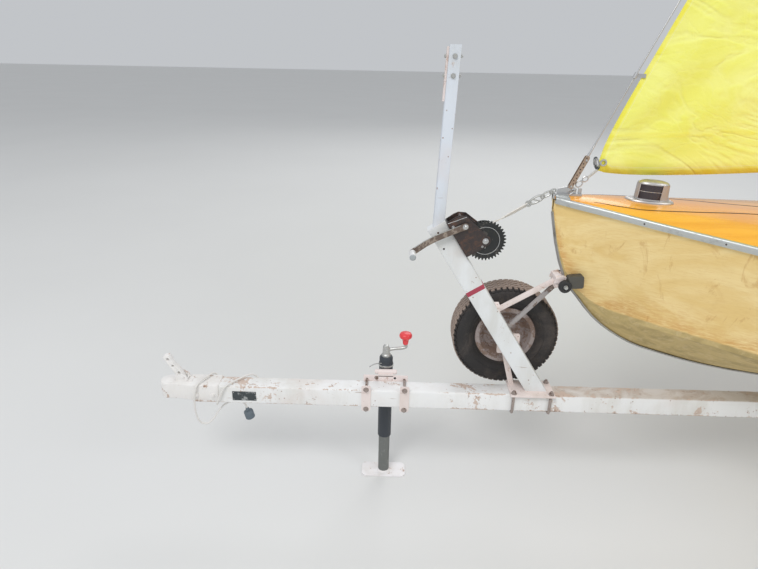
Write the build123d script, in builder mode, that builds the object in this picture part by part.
"""A hard-chine plywood sailing dinghy, rigged, on its single-axle road trailer.

Millimetres. +X runs forward to the trailer's coupler, +Y to port, +Z up. The origin
is on the floor under the middle of the whole. Places along the length are given as
distances behind the coupler's nose, through aft().
"""

import os
from math import atan2, cos, radians, sin, tan

from build123d import *

os.makedirs("parts", exist_ok=True)

# Trailer spine and coupler
TONGUE = 76.2                  # 3 inch square tube
TONGUE_WALL = 4.8
TONGUE_TOP = 493.0
TONGUE_START = 132.0           # behind the coupler's nose
TONGUE_END = 5900.0
COUPLER_LENGTH = 239.0
COUPLER_WALL = 3.6
BALL_BORE = 25.7               # radius, for a 2 inch ball
BALL_DEPTH = 42.0
FIT = 0.3                      # gap between pieces that seat on each other

# Jack
JACK_STATION = 894.0
JACK_OFFSET = 93.0             # axis to starboard of the centre plane
JACK_PIVOT_Z = 485.0
JACK_TUBE = 28.0               # outer tube, radius
JACK_TUBE_LOW = 194.0
JACK_TUBE_HIGH = 530.0
JACK_LEG = 23.5
FOOT_LENGTH = 190.0
FOOT_WIDTH = 88.0
FOOT_PLATE = 8.0
BRACKET_LENGTH = 178.0
BRACKET_HEIGHT = 118.0
BRACKET_PLATE = 6.0
SWIVEL_RADIUS = 52.0
SWIVEL_DEPTH = 14.0
CLAMP_WIDTH = 36.0
CLAMP_BOLT = 5.0

# Winch post, crutch and winch
POST_FOOT = 1481.0
POST_LEAN = 32.8               # degrees forward of upright
POST_LENGTH = 783.0
POST_DEPTH = 70.0
POST_WIDTH = 50.8
POST_WALL = 3.2
BASE_PLATE = 8.0
BASE_LENGTH = 172.0
CRUTCH_SIZE = 38.0
CRUTCH_TOP = 1742.0
CRUTCH_LEAN = 2.0
GEAR_RADIUS = 70.0
GEAR_TEETH = 36
GEAR_ALONG = -130.0            # along the post from its top
GEAR_OFF = 85.0                # off the post's upper face
PINION_ALONG = -46.0
PINION_OFF = 51.0
PINION_RADIUS = 17.5
GEAR_SHAFT = 9.0
CRANK_SHAFT = 8.0
WINCH_WIDTH = 56.0             # between the frame's outer faces
WINCH_PLATE = 4.0
CRANK_LENGTH = 205.0

# Wheels, springs and frame
AXLE_STATION = 4344.0
TYRE_RADIUS = 209.5            # 4.80-8 tyre
TYRE_WIDTH = 118.0
RIM_RADIUS = 106.0
TRACK = 1320.0
AXLE_SIZE = 38.0
SPINDLE = 12.7
SPRING_BASE = 300.0            # half the distance between a spring's eyes
SPRING_Y = 480.0
SPRING_WIDTH = 44.0
LEAF = 6.5
CROSS_HEIGHT = 76.0
CROSS_DEPTH = 38.0
CROSS_WALL = 5.0
FENDER_WIDTH = 190.0
FENDER_TOP = 505.0
FENDER_THICK = 3.0
SPARE_STATION = 1364.0
SPARE_Z = 682.0
SPARE_Y = -135.0
ROLLER_RADIUS = 22.0
ROLLER_END = 26.0
ROLLER_LENGTH = 104.0
BUNK_Y = 330.0
BUNK_WIDTH = 88.0
BUNK_LOW = 585.0
BUNK_START = 3700.0
BUNK_END = 5350.0
SUPPORT_STATIONS = (4044.0, 4644.0)

# Hull
BOW_SETBACK = 1456.0           # coupler's nose to the stem
HULL_LENGTH = 4720.0
HALF_BEAM = 760.0
KEEL_BASE = 562.0              # lowest point of the hull above the floor
DEPTH = 500.0                  # keel to sheer amidships
CROWN = 110.0                  # height of the deck's arch amidships
PLANK = 12.0
DECK_PLY = 9.0
TRANSOM = 18.0
BAND = 4.0
BAND_WIDTH = 22.0
RAIL_HEIGHT = 38.0
RAIL_DEPTH = 12.0
COCKPIT_FRONT = 1950.0         # behind the stem
COCKPIT_REAR = 4050.0
COCKPIT_HALF = 430.0
COCKPIT_NOSE = 250.0
COAMING_UP = 38.0
COAMING_PLY = 14.0
FLOOR_Z = 655.0
FLOOR_PLY = 12.0
TRUNK_START = 1985.0
TRUNK_LENGTH = 900.0
TRUNK_WIDTH = 62.0
TRUNK_SLOT = 24.0
TRUNK_TOP = 930.0
BOARD_PLATE = 16.0
THWART_STATION = 3000.0
THWART_WIDTH = 220.0

# Rig
MAST_STATION = 1620.0          # behind the stem
MAST_LENGTH = 6000.0
MAST_RADIUS = 32.0
MAST_WALL = 2.5
RAKE = 2.5                     # degrees aft of upright
STEP_HEIGHT = 14.0
HOUNDS = 4050.0                # above the mast's foot
STAY = 2.6                     # wire, radius
GOOSENECK = 560.0
LUFF_GAP = 28.0                # mast's wall to the boom's hinge
BOOM_LENGTH = 2560.0
BOOM_RADIUS = 28.0
SAIL = 3.0
LUFF = 5000.0
FOOT = 2380.0
MAIN_BELLY = 0.035
JIB_BELLY = 0.05
CHAINPLATE_STATION = 1900.0
LIGHT_STATION = 324.0
LIGHT_LENGTH = 165.0
LIGHT_WIDTH = 92.0

# Rudder
PINTLE_OFFSET = 40.0           # transom's face to the rudder's axis
PINTLE = 5.0
PINTLE_HEIGHTS = (735.0, 985.0)
PIVOT_BEHIND = 78.0            # rudder's axis to the blade's pivot
PIVOT_Z = 740.0
CHEEK = 7.0
BLADE = 20.0
BLADE_LENGTH = 545.0
BLADE_CHORD = 205.0
BLADE_TIP = 150.0
TIP_ROUND = 40.0
KICK_UP = 70.0                 # degrees that the blade is raised in the photo's parked state
HEAD_TOP = 1212.0
TILLER_LENGTH = 1060.0

WHEEL_Y = TRACK / 2
TONGUE_BOTTOM = TONGUE_TOP - TONGUE
HALF_TONGUE = TONGUE / 2
TIP_LEAN = atan2(BLADE_CHORD / 2 + 10 - BLADE_TIP / 2, BLADE_LENGTH - 200)
TIP_CENTRE = BLADE_TIP / 2 - TIP_ROUND / tan((radians(90) + TIP_LEAN) / 2)
BLADE_REACH = (
    (BLADE_LENGTH - TIP_ROUND) * sin(radians(KICK_UP)) + TIP_CENTRE * cos(radians(KICK_UP)) + TIP_ROUND
)
OVERALL_LENGTH = BOW_SETBACK + HULL_LENGTH + PINTLE_OFFSET + PIVOT_BEHIND + BLADE_REACH
NOSE_X = OVERALL_LENGTH / 2


def aft(distance):
    """X of a place that lies this far behind the coupler's nose."""
    return NOSE_X - distance


def inboard(distance):
    """X of a place that lies this far behind the boat's stem."""
    return aft(BOW_SETBACK + distance)


def rod(start, end, radius):
    """A round rod from one point to another."""
    run = Vector(*end) - Vector(*start)
    with BuildPart() as piece:
        with BuildSketch(Plane(origin=start, z_dir=run)):
            Circle(radius)
        extrude(amount=run.length)
    return piece.part


def block(x_range, y_range, z_range):
    """A plain rectangular block between three pairs of limits."""
    with BuildPart() as piece:
        with BuildSketch(Plane.XY.offset(min(z_range))):
            with Locations((sum(x_range) / 2, sum(y_range) / 2)):
                Rectangle(abs(x_range[1] - x_range[0]), abs(y_range[1] - y_range[0]))
        extrude(amount=abs(z_range[1] - z_range[0]))
    return piece.part


def plate(points, y_range, corner=0.0):
    """A plate cut from a side view, given as (x, z) points, between two Y limits."""
    with BuildPart() as piece:
        with BuildSketch(Plane.XZ.offset(-max(y_range))) as outline:
            with BuildLine():
                Polyline(*points, close=True)
            make_face()
            if corner > 0:
                fillet(outline.vertices(), corner)
        extrude(amount=abs(y_range[1] - y_range[0]))
    return piece.part


def save(name, builder):
    """Label a finished piece and write it."""
    builder.part.label = name
    export_step(builder.part, "parts/" + name + ".step")


# Tongue
with BuildPart() as tongue:
    with BuildSketch(Plane.YZ.offset(aft(TONGUE_END))):
        with Locations((0, TONGUE_TOP - HALF_TONGUE)):
            RectangleRounded(TONGUE, TONGUE, 7)
            Rectangle(TONGUE - 2 * TONGUE_WALL, TONGUE - 2 * TONGUE_WALL, mode=Mode.SUBTRACT)
    extrude(amount=TONGUE_END - TONGUE_START)
save("tongue", tongue)

# Coupler: a pressed shell, round at the nose, that sleeves over the tongue
COUPLER_HALF = HALF_TONGUE + FIT + COUPLER_WALL
NOSE_RADIUS = 35.0
COUPLER_TOP = TONGUE_TOP + FIT + COUPLER_WALL
COUPLER_LOW = TONGUE_BOTTOM + 12
COUPLER_FLARE = 118.0
with BuildPart() as coupler:
    with BuildSketch(Plane.XY.offset(COUPLER_LOW)):
        with BuildLine():
            Polyline(
                (aft(NOSE_RADIUS), NOSE_RADIUS),
                (aft(NOSE_RADIUS + 45), NOSE_RADIUS),
                (aft(COUPLER_FLARE), COUPLER_HALF),
                (aft(COUPLER_LENGTH), COUPLER_HALF),
                (aft(COUPLER_LENGTH), -COUPLER_HALF),
                (aft(COUPLER_FLARE), -COUPLER_HALF),
                (aft(NOSE_RADIUS + 45), -NOSE_RADIUS),
                (aft(NOSE_RADIUS), -NOSE_RADIUS),
            )
            ThreePointArc((aft(NOSE_RADIUS), -NOSE_RADIUS), (aft(0), 0), (aft(NOSE_RADIUS), NOSE_RADIUS))
        make_face()
    extrude(amount=COUPLER_TOP - COUPLER_LOW)
    fillet(coupler.faces().sort_by(Axis.Z)[-1].edges(), 3)
    with BuildSketch(Plane.XY.offset(COUPLER_LOW)):
        with Locations((aft(NOSE_RADIUS), 0)):
            Circle(BALL_BORE)
    extrude(amount=BALL_DEPTH, mode=Mode.SUBTRACT)
    add(
        block(
            (aft(TONGUE_START) + FIT, aft(COUPLER_LENGTH) - 1),
            (-HALF_TONGUE - FIT, HALF_TONGUE + FIT),
            (COUPLER_LOW - 1, TONGUE_TOP + FIT),
        ),
        mode=Mode.SUBTRACT,
    )
save("coupler", coupler)

# Coupler latch: two ears and a lever that leans forward
LATCH_STATION = 66.0
LATCH_HIGH = 604.0
latch_ears = [
    plate(
        [
            (aft(LATCH_STATION - 20), COUPLER_TOP),
            (aft(LATCH_STATION + 34), COUPLER_TOP),
            (aft(LATCH_STATION + 22), COUPLER_TOP + 24),
            (aft(LATCH_STATION - 8), COUPLER_TOP + 28),
        ],
        (side * 15 - 2, side * 15 + 2),
    )
    for side in (-1, 1)
]
with BuildPart() as coupler_latch:
    with BuildSketch(Plane.XZ.offset(-13)) as latch_side:
        with BuildLine():
            Polyline(
                (aft(LATCH_STATION + 26), COUPLER_TOP),
                (aft(LATCH_STATION + 20), COUPLER_TOP + 22),
                (aft(LATCH_STATION - 6), COUPLER_TOP + 42),
                (aft(LATCH_STATION - 22), LATCH_HIGH),
                (aft(LATCH_STATION - 36), LATCH_HIGH - 6),
                (aft(LATCH_STATION - 24), COUPLER_TOP + 32),
                (aft(LATCH_STATION - 12), COUPLER_TOP),
                close=True,
            )
        make_face()
        fillet(latch_side.vertices().sort_by(Axis.Y)[2:], 4)
    extrude(amount=26)
    add(latch_ears)
save("coupler_latch", coupler_latch)

# Jack bracket, fixed to the tongue's starboard side by two clamp straps
JACK_X = aft(JACK_STATION)
BRACKET_FACE = -HALF_TONGUE - BRACKET_PLATE
BRACKET_LOW = TONGUE_TOP + 23 - BRACKET_HEIGHT
BOLT_HEIGHTS = (TONGUE_BOTTOM - CLAMP_BOLT - 1, TONGUE_TOP + CLAMP_BOLT + 1)
CLAMP_X = (JACK_X - BRACKET_LENGTH / 2 + 14, JACK_X + BRACKET_LENGTH / 2 - 14)
clamp_bolts = [
    rod((x, HALF_TONGUE + 10, z), (x, BRACKET_FACE + 1, z), CLAMP_BOLT) for x in CLAMP_X for z in BOLT_HEIGHTS
]
clamp_straps = [
    block(
        (x - CLAMP_WIDTH / 2, x + CLAMP_WIDTH / 2),
        (HALF_TONGUE, HALF_TONGUE + 5),
        (BOLT_HEIGHTS[0] - 10, BOLT_HEIGHTS[1] + 10),
    )
    for x in CLAMP_X
]
with BuildPart() as jack_bracket:
    with BuildSketch(Plane.XZ.offset(HALF_TONGUE)):
        with Locations((JACK_X, BRACKET_LOW + BRACKET_HEIGHT / 2)):
            RectangleRounded(BRACKET_LENGTH, BRACKET_HEIGHT, 6)
    extrude(amount=BRACKET_PLATE)
    with BuildSketch(Plane.XZ.offset(-BRACKET_FACE)):
        with Locations((JACK_X, JACK_PIVOT_Z)):
            Circle(SWIVEL_RADIUS)
    extrude(amount=SWIVEL_DEPTH)
    add(clamp_bolts)
    add(clamp_straps)
save("jack_bracket", jack_bracket)

# Jack outer tube with its swivel hub and the bearing cap
SWIVEL_FACE = -BRACKET_FACE + SWIVEL_DEPTH
jack_hub_height = JACK_OFFSET - SWIVEL_FACE - FIT
with BuildPart() as jack_tube:
    with BuildSketch(Plane.XY.offset(JACK_TUBE_LOW)):
        with Locations((JACK_X, -JACK_OFFSET)):
            Circle(JACK_TUBE)
    extrude(amount=JACK_TUBE_HIGH - JACK_TUBE_LOW)
    with BuildSketch(Plane.XZ.offset(SWIVEL_FACE + FIT)):
        with Locations((JACK_X, JACK_PIVOT_Z)):
            Circle(SWIVEL_RADIUS - 10)
    extrude(amount=jack_hub_height)
    with BuildSketch(Plane.XY.offset(JACK_TUBE_HIGH)):
        with Locations((JACK_X, -JACK_OFFSET)):
            Circle(JACK_TUBE + 1)
    extrude(amount=46, taper=4)
    with BuildSketch(Plane.XY.offset(JACK_TUBE_LOW)):
        with Locations((JACK_X, -JACK_OFFSET)):
            Circle(JACK_LEG + FIT)
    extrude(amount=JACK_TUBE_HIGH - JACK_TUBE_LOW - 12, mode=Mode.SUBTRACT)
JACK_CAP_TOP = JACK_TUBE_HIGH + 46
save("jack_tube", jack_tube)

# Jack leg and foot plate with clipped corners
with BuildPart() as jack_leg:
    with BuildSketch(Plane.XY):
        with Locations((JACK_X, -JACK_OFFSET)):
            Rectangle(FOOT_LENGTH, FOOT_WIDTH)
        chamfer(vertices(), 14)
    extrude(amount=FOOT_PLATE)
    with BuildSketch(Plane.XY.offset(FOOT_PLATE)):
        with Locations((JACK_X, -JACK_OFFSET)):
            Circle(JACK_LEG)
            Circle(JACK_LEG - 3, mode=Mode.SUBTRACT)
    extrude(amount=JACK_TUBE_LOW + 150 - FOOT_PLATE)
save("jack_leg", jack_leg)

# Jack crank: a hub on the cap, an arm and the knob's stem
ARM_END = (JACK_X - 76, -JACK_OFFSET, JACK_CAP_TOP + 46)
with BuildPart() as jack_crank:
    with BuildSketch(Plane.XY.offset(JACK_CAP_TOP)):
        with Locations((JACK_X, -JACK_OFFSET)):
            Circle(19)
    extrude(amount=50)
    fillet(jack_crank.edges().sort_by(Axis.Z)[-1], 12)
    add(rod((JACK_X, -JACK_OFFSET, JACK_CAP_TOP + 28), ARM_END, 7))
    add(rod(ARM_END, (ARM_END[0], ARM_END[1], ARM_END[2] + 10), 7))
    with Locations(ARM_END):
        Sphere(7)
save("jack_crank", jack_crank)

# Jack knob: a mushroom of red plastic
with BuildPart() as jack_knob:
    with BuildSketch(Plane.XZ.offset(JACK_OFFSET)):
        with BuildLine():
            Polyline(
                (ARM_END[0], ARM_END[2] + 10),
                (ARM_END[0] + 11, ARM_END[2] + 10),
                (ARM_END[0] + 14, ARM_END[2] + 30),
                (ARM_END[0] + 26, ARM_END[2] + 42),
                (ARM_END[0] + 26, ARM_END[2] + 54),
                (ARM_END[0], ARM_END[2] + 62),
                close=True,
            )
        make_face()
    revolve(axis=Axis((ARM_END[0], -JACK_OFFSET, 0), (0, 0, 1)))
save("jack_knob", jack_knob)

# Winch post: a box tube that leans forward from its base plate
post_up = Vector(sin(radians(POST_LEAN)), 0, cos(radians(POST_LEAN)))
post_off = Vector(-cos(radians(POST_LEAN)), 0, sin(radians(POST_LEAN)))
BASE_TOP = TONGUE_TOP + BASE_PLATE
POST_START = Vector(aft(POST_FOOT), 0, BASE_TOP)
post_plane = Plane(origin=tuple(POST_START - post_up * 80), x_dir=tuple(post_off), z_dir=tuple(post_up))
with BuildPart() as winch_post:
    with BuildSketch(post_plane):
        Rectangle(POST_DEPTH, POST_WIDTH)
    extrude(amount=POST_LENGTH + 80)
    with BuildSketch(post_plane):
        Rectangle(POST_DEPTH - 2 * POST_WALL, POST_WIDTH - 2 * POST_WALL)
    extrude(amount=POST_LENGTH + 80 - POST_WALL, mode=Mode.SUBTRACT)
    split(bisect_by=Plane.XY.offset(BASE_TOP), keep=Keep.TOP)
save("winch_post", winch_post)

# Base plate on the tongue with its two square U-bolts
U_BOLT = 5.5
BASE_X = aft(POST_FOOT - 17)
u_bolt_places = (BASE_X - BASE_LENGTH / 2 + 14, BASE_X + BASE_LENGTH / 2 - 14)
u_bolt_y = HALF_TONGUE + U_BOLT + FIT
u_bolt_low = TONGUE_BOTTOM - U_BOLT - FIT
u_bolts = []
for x in u_bolt_places:
    u_bolts.append(rod((x, -u_bolt_y, u_bolt_low), (x, u_bolt_y, u_bolt_low), U_BOLT))
    for side in (-1, 1):
        u_bolts.append(rod((x, side * u_bolt_y, u_bolt_low), (x, side * u_bolt_y, BASE_TOP + 14), U_BOLT))
with BuildPart() as post_clamp:
    with BuildSketch(Plane.XY.offset(TONGUE_TOP)):
        with Locations((BASE_X, 0)):
            RectangleRounded(BASE_LENGTH, 2 * u_bolt_y + 30, 6)
    extrude(amount=BASE_PLATE)
    add(u_bolts)
save("post_clamp", post_clamp)

# Mast crutch: an upright that stands in the post's top, with a bolted front rail
post_head = POST_START + post_up * POST_LENGTH
crutch_up = Vector(-sin(radians(CRUTCH_LEAN)), 0, cos(radians(CRUTCH_LEAN)))
crutch_foot = Vector(post_head.X - 8, 0, post_head.Z - 40)
crutch_length = (CRUTCH_TOP - crutch_foot.Z) / crutch_up.Z
crutch_plane = Plane(origin=tuple(crutch_foot), x_dir=(0, 1, 0), z_dir=tuple(crutch_up))
crutch_front = crutch_foot + crutch_up * (crutch_length - 130) + Vector(CRUTCH_SIZE / 2 + 6, 0, 0)
with BuildPart() as mast_crutch:
    with BuildSketch(crutch_plane):
        RectangleRounded(CRUTCH_SIZE, CRUTCH_SIZE, 4)
    extrude(amount=crutch_length)
    with BuildSketch(Plane(origin=tuple(crutch_front), x_dir=(0, 1, 0), z_dir=tuple(crutch_up))):
        Rectangle(22, 14)
    extrude(amount=122)
    add(winch_post.part, mode=Mode.SUBTRACT)
    split(bisect_by=Plane(origin=tuple(post_head), z_dir=tuple(post_up)), keep=Keep.TOP)
save("mast_crutch", mast_crutch)

# Winch, drawn in the post's side view: first axis up along the post, second off its upper face
winch_origin = post_head + post_off * (POST_DEPTH / 2)
winch_plane = Plane(origin=tuple(winch_origin), x_dir=tuple(post_up), z_dir=(0, -1, 0))
WINCH_OUTLINE = [(-150, FIT), (-158, 66), (-150, 102), (-116, 109), (-24, 74), (-6, 46), (-8, FIT)]
WINCH_OUTER = WINCH_WIDTH / 2
with BuildPart() as winch_frame:
    for outer_face in (-WINCH_OUTER, WINCH_OUTER - WINCH_PLATE):
        with BuildSketch(winch_plane.offset(outer_face)) as cheek:
            with BuildLine():
                Polyline(*WINCH_OUTLINE, close=True)
            make_face()
            fillet(cheek.vertices().filter_by(lambda corner: winch_plane.to_local_coords(corner).Y > 1), 9)
        extrude(amount=WINCH_PLATE)
    with BuildSketch(winch_plane.offset(-WINCH_OUTER)):
        with Locations((-80, FIT + WINCH_PLATE / 2)):
            Rectangle(140, WINCH_PLATE)
    extrude(amount=WINCH_WIDTH)
    with BuildSketch(winch_plane.offset(-WINCH_OUTER)):
        with Locations((-142, 24), (-18, 50)):
            Circle(6)
    extrude(amount=WINCH_WIDTH)
    with BuildSketch(winch_plane.offset(-WINCH_OUTER - 1)):
        with Locations((GEAR_ALONG, GEAR_OFF)):
            Circle(GEAR_SHAFT + FIT)
        with Locations((PINION_ALONG, PINION_OFF)):
            Circle(CRANK_SHAFT + FIT)
    extrude(amount=WINCH_WIDTH + 2, mode=Mode.SUBTRACT)
save("winch_frame", winch_frame)

# Winch gear with its toothed rim, shaft, and the drum wound with strap
tooth_angle = 360 / GEAR_TEETH
GEAR_FACE = WINCH_OUTER + 3
with BuildPart() as winch_gear:
    with BuildSketch(winch_plane.offset(-GEAR_FACE - 8)):
        with Locations((GEAR_ALONG, GEAR_OFF)):
            Circle(GEAR_RADIUS - 4)
            with PolarLocations(GEAR_RADIUS - 2, GEAR_TEETH):
                Rectangle(9, 5)
            with PolarLocations(GEAR_RADIUS * 0.55, 5):
                Circle(11, mode=Mode.SUBTRACT)
    extrude(amount=8)
    with BuildSketch(winch_plane.offset(-GEAR_FACE - 14)):
        with Locations((GEAR_ALONG, GEAR_OFF)):
            Circle(GEAR_SHAFT)
    extrude(amount=GEAR_FACE + 14 + WINCH_OUTER + 10)
    with BuildSketch(winch_plane.offset(-WINCH_OUTER + WINCH_PLATE + 1)):
        with Locations((GEAR_ALONG, GEAR_OFF)):
            Circle(46)
    extrude(amount=WINCH_WIDTH - 2 * WINCH_PLATE - 2)
save("winch_gear", winch_gear)

# Winch crank: pinion, shaft, flat bar and grip
pinion_centre = winch_plane.from_local_coords((PINION_ALONG, PINION_OFF, 0))
CRANK_DROP = 28.6              # degrees below level, towards the nose
crank_run = Vector(cos(radians(CRANK_DROP)), 0, -sin(radians(CRANK_DROP)))
crank_end = Vector(*pinion_centre) + crank_run * CRANK_LENGTH
crank_plane = Plane(origin=tuple(pinion_centre), x_dir=tuple(crank_run), z_dir=(0, -1, 0))
CRANK_FACE = GEAR_FACE + 16
with BuildPart() as winch_crank:
    with BuildSketch(crank_plane.offset(-CRANK_FACE)):
        Circle(CRANK_SHAFT)
    extrude(amount=CRANK_FACE + WINCH_OUTER + 6)
    with BuildSketch(crank_plane.offset(-GEAR_FACE - 8)):
        Circle(PINION_RADIUS - 5)
        with PolarLocations(PINION_RADIUS - 4, 10):
            Rectangle(8, 4)
    extrude(amount=8)
    with BuildSketch(crank_plane.offset(-CRANK_FACE - 6)):
        with Locations((CRANK_LENGTH / 2, 0)):
            SlotCenterToCenter(CRANK_LENGTH, 24)
    extrude(amount=6)
    with BuildSketch(crank_plane.offset(-CRANK_FACE - 66)):
        with Locations((CRANK_LENGTH, 0)):
            Circle(12)
    extrude(amount=60)
save("winch_crank", winch_crank)

# Hull sections. Columns: share of the length from the stem, then as shares of the half
# beam or of the depth above the keel's lowest point: half breadth and height of the
# sheer, half breadth and height of the chine, height of the keel; last the share of the
# deck's crown.
HULL_SECTIONS = (
    # station, sheer_b, sheer_h, chine_b, chine_h, keel_h, crown
    (0.000, 0.024, 1.400, 0.016, 1.322, 1.306, 0.02),
    (0.005, 0.045, 1.394, 0.016, 1.116, 1.100, 0.06),
    (0.015, 0.076, 1.380, 0.016, 0.852, 0.836, 0.11),
    (0.028, 0.118, 1.364, 0.016, 0.688, 0.670, 0.17),
    (0.040, 0.158, 1.348, 0.018, 0.600, 0.540, 0.22),
    (0.068, 0.253, 1.312, 0.125, 0.556, 0.348, 0.30),
    (0.106, 0.380, 1.266, 0.257, 0.520, 0.220, 0.41),
    (0.184, 0.625, 1.172, 0.500, 0.440, 0.070, 0.65),
    (0.300, 0.862, 1.080, 0.716, 0.366, 0.016, 0.86),
    (0.445, 0.980, 1.012, 0.842, 0.310, 0.000, 1.00),
    (0.635, 0.993, 0.988, 0.862, 0.290, 0.008, 0.98),
    (0.825, 0.921, 0.996, 0.790, 0.300, 0.052, 0.89),
    (1.000, 0.789, 1.026, 0.684, 0.336, 0.136, 0.76),
)
HULL_STATIONS = (
    0, 0.005, 0.015, 0.028, 0.040, 0.068, 0.106, 0.145, 0.184, 0.24,
    0.30, 0.37, 0.445, 0.54, 0.635, 0.73, 0.825, 0.91, 1.0,
)
FIRST_HOLLOW = 5               # first station that is wide enough to be hollow
SHELL_LENGTH = HULL_LENGTH - TRANSOM


def hull_row(share):
    """The hull's table read between its rows, on smooth curves through them."""
    rows = HULL_SECTIONS
    index = max(i for i in range(len(rows) - 1) if rows[i][0] <= share)
    near, far = rows[index], rows[index + 1]
    before = rows[max(index - 1, 0)]
    after = rows[min(index + 2, len(rows) - 1)]
    span = far[0] - near[0]
    t = (share - near[0]) / span
    values = [share]
    for column in range(1, len(near)):
        slope = (far[column] - near[column]) / span
        slope_in = slope
        slope_out = slope
        if before is not near:
            back = near[0] - before[0]
            slope_back = (near[column] - before[column]) / back
            slope_in = (slope_back * span + slope * back) / (span + back)
        if after is not far:
            ahead = after[0] - far[0]
            slope_ahead = (after[column] - far[column]) / ahead
            slope_out = (slope * ahead + slope_ahead * span) / (span + ahead)
        values.append(
            near[column] * (1 + 2 * t) * (1 - t) ** 2
            + slope_in * span * t * (1 - t) ** 2
            + far[column] * t * t * (3 - 2 * t)
            + slope_out * span * t * t * (t - 1)
        )
    return values


class Section:
    """One cross-section of the hull, in millimetres."""

    def __init__(self, row):
        station, sheer_b, sheer_h, chine_b, chine_h, keel_h, crown = row
        self.x = inboard(station * SHELL_LENGTH)
        self.sheer = (sheer_b * HALF_BEAM, KEEL_BASE + sheer_h * DEPTH)
        self.chine = (chine_b * HALF_BEAM, KEEL_BASE + chine_h * DEPTH)
        self.keel = KEEL_BASE + keel_h * DEPTH
        self.crown = max(crown * CROWN, 1.0)
        self.lean = (self.sheer[0] - self.chine[0]) / (self.sheer[1] - self.chine[1])

    def outline(self, raised=0.0):
        """Closed outline of the hull, its top raised along the flare."""
        (sheer_y, sheer_z), (chine_y, chine_z) = self.sheer, self.chine
        top = (sheer_y + raised * self.lean, sheer_z + raised)
        return [
            top,
            (chine_y, chine_z),
            (0, self.keel),
            (-chine_y, chine_z),
            (-top[0], top[1]),
        ]


SECTIONS = [Section(hull_row(share)) for share in HULL_STATIONS]


def deck_band(low, high, sections=SECTIONS):
    """The space between two surfaces parallel to the deck's underside."""
    with BuildPart() as band:
        for section in sections:
            half, edge = section.sheer
            with BuildSketch(Plane.YZ.offset(section.x)):
                with BuildLine():
                    ThreePointArc(
                        (-half, edge + low), (0, edge + low + section.crown), (half, edge + low)
                    )
                    Line((half, edge + low), (half, edge + high))
                    ThreePointArc(
                        (half, edge + high), (0, edge + high + section.crown), (-half, edge + high)
                    )
                    Line((-half, edge + high), (-half, edge + low))
                make_face()
        loft(ruled=True)
    return band.part


with BuildPart() as hull_form:
    for section in SECTIONS:
        with BuildSketch(Plane.YZ.offset(section.x)):
            with BuildLine():
                Polyline(*section.outline(), close=True)
            make_face()
    loft(ruled=True)

with BuildPart() as hull_inside:
    for section in SECTIONS[FIRST_HOLLOW:]:
        with BuildSketch(Plane.YZ.offset(section.x)):
            with BuildLine():
                Polyline(*section.outline(raised=200), close=True)
            make_face()
            offset(amount=-PLANK, kind=Kind.INTERSECTION)
    loft(ruled=True)

with BuildPart() as hull:
    add(hull_form.part)
    add(hull_inside.part, mode=Mode.SUBTRACT)
save("hull", hull)


def surface_height(form, x, half_width=4.0, top=True):
    """Highest or lowest Z of a solid in a thin slice across X, near the centre plane."""
    slice_box = Pos(x, 0, 1000) * Box(2, 2 * half_width, 4000)
    bounds = (form & slice_box).bounding_box()
    return bounds.max.Z if top else bounds.min.Z


# Deck, with the cockpit cut out of it
cockpit_points = [
    (inboard(COCKPIT_FRONT), COCKPIT_NOSE),
    (inboard(COCKPIT_FRONT + 420), COCKPIT_HALF),
    (inboard(COCKPIT_REAR), COCKPIT_HALF),
    (inboard(COCKPIT_REAR), -COCKPIT_HALF),
    (inboard(COCKPIT_FRONT + 420), -COCKPIT_HALF),
    (inboard(COCKPIT_FRONT), -COCKPIT_NOSE),
]
deck_skin = deck_band(0, DECK_PLY)
with BuildPart() as deck:
    add(deck_skin)
    with BuildSketch(Plane.XY.offset(KEEL_BASE)) as cockpit:
        with BuildLine():
            Polyline(*cockpit_points, close=True)
        make_face()
        fillet(cockpit.vertices(), 70)
    extrude(amount=2 * DEPTH, mode=Mode.SUBTRACT)
save("deck", deck)

# Coaming around the cockpit, parallel to the deck
coaming_band = deck_band(-30, DECK_PLY + COAMING_UP)
with BuildPart() as coaming:
    with BuildSketch(Plane.XY.offset(KEEL_BASE)) as ring:
        with BuildLine():
            Polyline(*cockpit_points, close=True)
        make_face()
        fillet(ring.vertices(), 70)
        offset(amount=-COAMING_PLY, mode=Mode.SUBTRACT)
    extrude(amount=2 * DEPTH)
    add(coaming_band, mode=Mode.INTERSECT)
save("coaming", coaming)

# Rub rails along the sheer, their inner faces on the planking and the deck's edge
RAIL_DROP = RAIL_HEIGHT - DECK_PLY
RAIL_GAP = 0.1
with BuildPart() as rub_rails:
    for side in (-1, 1):
        for section in SECTIONS:
            half, edge = section.sheer
            with BuildSketch(Plane.YZ.offset(section.x)):
                with BuildLine():
                    Polyline(
                        (side * (half + RAIL_GAP), edge),
                        (side * (half + RAIL_GAP), edge + DECK_PLY),
                        (side * (half + RAIL_DEPTH), edge + DECK_PLY),
                        (side * (half + RAIL_DEPTH), edge - RAIL_DROP),
                        (side * (half + RAIL_GAP - section.lean * RAIL_DROP), edge - RAIL_DROP),
                        close=True,
                    )
                make_face()
        loft(ruled=True)
save("rub_rails", rub_rails)

# Transom
with BuildPart() as transom:
    last = SECTIONS[-1]
    with BuildSketch(Plane.YZ.offset(inboard(HULL_LENGTH))):
        with BuildLine():
            half, edge = last.sheer
            Polyline((half, edge), last.chine, (0, last.keel), (-last.chine[0], last.chine[1]), (-half, edge))
            ThreePointArc((-half, edge), (0, edge + last.crown), (half, edge))
        make_face()
    extrude(amount=TRANSOM)
save("transom", transom)

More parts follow.
